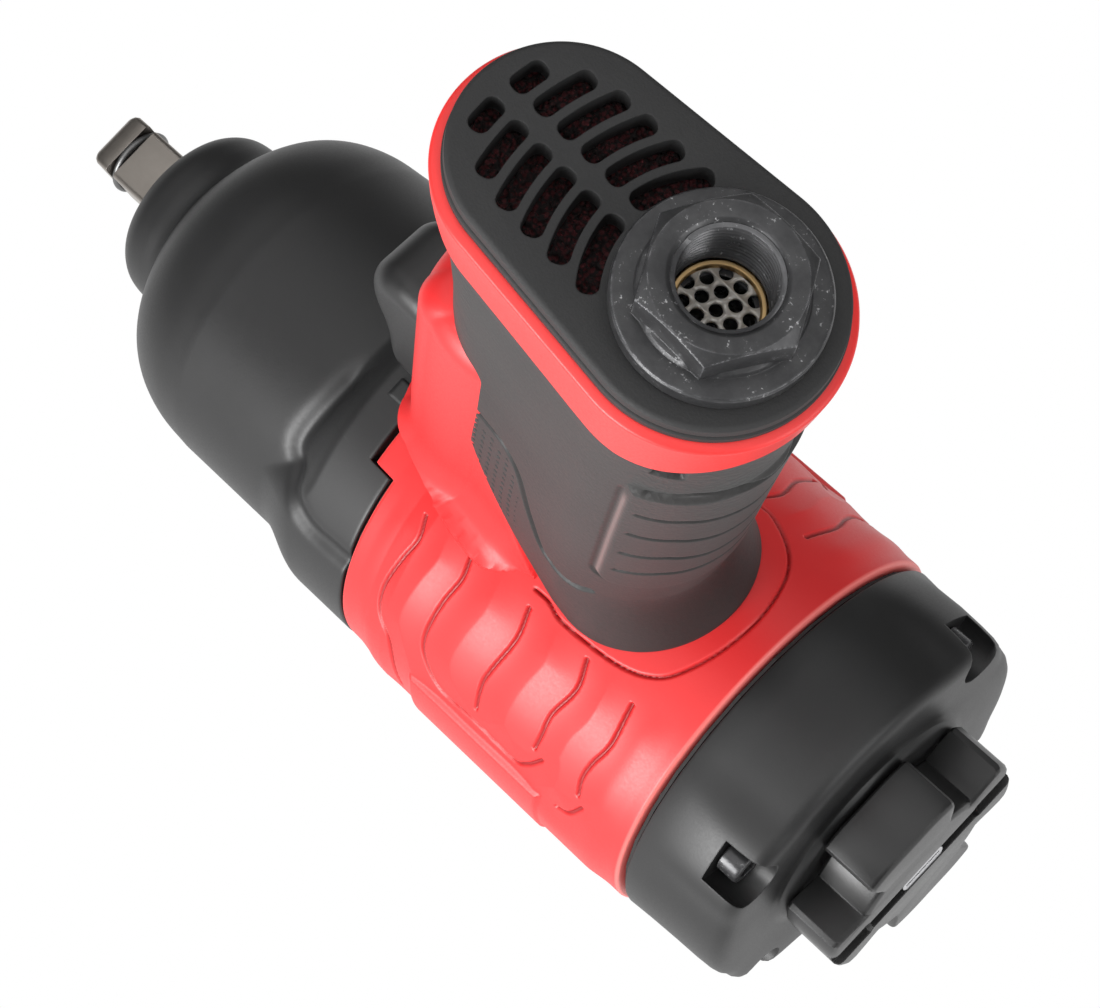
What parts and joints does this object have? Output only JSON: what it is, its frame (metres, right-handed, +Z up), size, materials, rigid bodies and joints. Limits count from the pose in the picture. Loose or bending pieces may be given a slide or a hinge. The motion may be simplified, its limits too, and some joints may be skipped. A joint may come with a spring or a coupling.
{
  "type": "air impact wrench",
  "caption": "Pistol-grip pneumatic impact wrench with a square drive, a squeeze trigger, a rear power regulator and a threaded air inlet under the handle.",
  "frame": {"origin": "centre of the square drive's end face", "axes": "+X out of the nose along the spindle, +Y to the left of someone holding it, +Z up; the handle hangs down -Z and its lower end leans back"},
  "size_m": [0.2222, 0.0838, 0.2062],
  "materials": {
    "black_case": "satin black paint over cast aluminium",
    "red_housing": "semi-gloss red moulding",
    "black_cap": "satin black paint",
    "base_black": "satin black, bright scuffed edge",
    "black_bolt": "black oxide",
    "inlet_steel": "blackened steel, bright where it is scuffed",
    "anvil_steel": "phosphated hardened steel",
    "spring_ring": "dark spring steel",
    "black_rubber": "matt",
    "grip_rubber": "fine-grained soft rubber",
    "foam_red": "open-cell foam",
    "gasket_fibre": "matt fibre sheet",
    "bronze": "plain turned",
    "machined_steel": "ground and hardened",
    "race_steel": "ground bearing steel",
    "screen_bright": "bright perforated sheet",
    "vane_resin": "cloth-filled resin",
    "trigger_black": "satin moulded",
    "knob_black": "satin moulded"
  },
  "bodies": {
    "housing": {"hammer_case": "black_case", "case_gasket": "gasket_fibre", "nose_seal": "black_rubber", "anvil_bushing": "bronze", "motor_housing": "red_housing", "front_end_plate": "machined_steel", "front_bearing_outer": "race_steel", "cylinder": "machined_steel", "cylinder_dowel": "machined_steel", "rear_end_plate": "machined_steel", "rear_bearing_outer": "race_steel", "cap_gasket": "gasket_fibre", "rear_cap": "black_cap", "case_bolt_1": "black_bolt", "case_bolt_2": "black_bolt", "case_bolt_3": "black_bolt", "case_bolt_4": "black_bolt", "base_plate": "base_black", "exhaust_foam": "foam_red", "inlet_bushing": "inlet_steel", "inlet_o_ring": "black_rubber", "inlet_screen": "screen_bright", "screen_ring": "bronze", "valve_seat": "bronze", "rod_bushing": "bronze", "grip": "grip_rubber", "valve_spring": "machined_steel"},
    "drive": {"anvil": "anvil_steel", "socket_ring": "spring_ring", "cushion_ring": "black_rubber"},
    "motor": {"rotor": "machined_steel", "hammer_cage": "machined_steel", "hammer_pin_1": "machined_steel", "hammer_pin_2": "machined_steel", "front_bearing_inner": "race_steel", "rear_bearing_inner": "race_steel"},
    "front_hammer": {"hammer_front": "machined_steel"},
    "rear_hammer": {"hammer_rear": "machined_steel"},
    "regulator": {"regulator_knob": "knob_black", "regulator_spool": "machined_steel", "knob_screw": "machined_steel", "spool_o_ring": "black_rubber"},
    "trigger_unit": {"trigger": "trigger_black", "trigger_rod": "machined_steel"},
    "valve": {"throttle_valve": "machined_steel"},
    "vane_1_body": {"vane_1": "vane_resin"},
    "vane_2_body": {"vane_2": "vane_resin"},
    "vane_3_body": {"vane_3": "vane_resin"},
    "vane_4_body": {"vane_4": "vane_resin"},
    "vane_5_body": {"vane_5": "vane_resin"},
    "vane_6_body": {"vane_6": "vane_resin"}
  },
  "joints": [
    {"name": "drive_spin", "type": "hinge", "parent": "housing", "child": "drive", "pos_m": [-0.05, 0, 0], "axis": [1, 0, 0], "continuous": true},
    {"name": "motor_spin", "type": "hinge", "parent": "housing", "child": "motor", "pos_m": [-0.14, 0, 0], "axis": [1, 0, 0], "continuous": true},
    {"name": "front_hammer_swing", "type": "hinge", "parent": "motor", "child": "front_hammer", "pos_m": [-0.0655, 0, 0.0255], "axis": [1, 0, 0], "range_deg": [-3.5, 3.5]},
    {"name": "rear_hammer_swing", "type": "hinge", "parent": "motor", "child": "rear_hammer", "pos_m": [-0.0835, 0, -0.0255], "axis": [1, 0, 0], "range_deg": [-3.5, 3.5]},
    {"name": "vane_1_slide", "type": "slide", "parent": "motor", "child": "vane_1_body", "axis": [0, -0.5, 0.866], "range_m": [0, 0.0004]},
    {"name": "vane_2_slide", "type": "slide", "parent": "motor", "child": "vane_2_body", "axis": [0, -1, 0], "range_m": [0, 0.0028]},
    {"name": "vane_3_slide", "type": "slide", "parent": "motor", "child": "vane_3_body", "axis": [0, -0.5, -0.866], "range_m": [0, 0.0004]},
    {"name": "vane_4_slide", "type": "slide", "parent": "motor", "child": "vane_4_body", "axis": [0, 0.5, -0.866], "range_m": [0, 0.0004]},
    {"name": "vane_5_slide", "type": "slide", "parent": "motor", "child": "vane_5_body", "axis": [0, 1, 0], "range_m": [0, 0.0028]},
    {"name": "vane_6_slide", "type": "slide", "parent": "motor", "child": "vane_6_body", "axis": [0, 0.5, 0.866], "range_m": [0, 0.0004]},
    {"name": "regulator_turn", "type": "hinge", "parent": "housing", "child": "regulator", "pos_m": [-0.216, 0, 0], "axis": [1, 0, 0], "range_deg": [-45, 45]},
    {"name": "trigger_pull", "type": "slide", "parent": "housing", "child": "trigger_unit", "axis": [-0.9763, 0, 0.2164], "range_m": [0, 0.005], "stiffness_N_per_m": 1500, "springref_m": -0.003},
    {"name": "valve_tilt", "type": "hinge", "parent": "housing", "child": "valve", "pos_m": [-0.15127, 0, -0.06959], "axis": [0, -1, 0], "range_deg": [0, 20.1], "deforming": ["valve_spring"]}
  ],
  "couplings": [
    {"joint": "valve_tilt", "follows": "trigger_pull", "rad_per_m": 69.8}
  ]
}
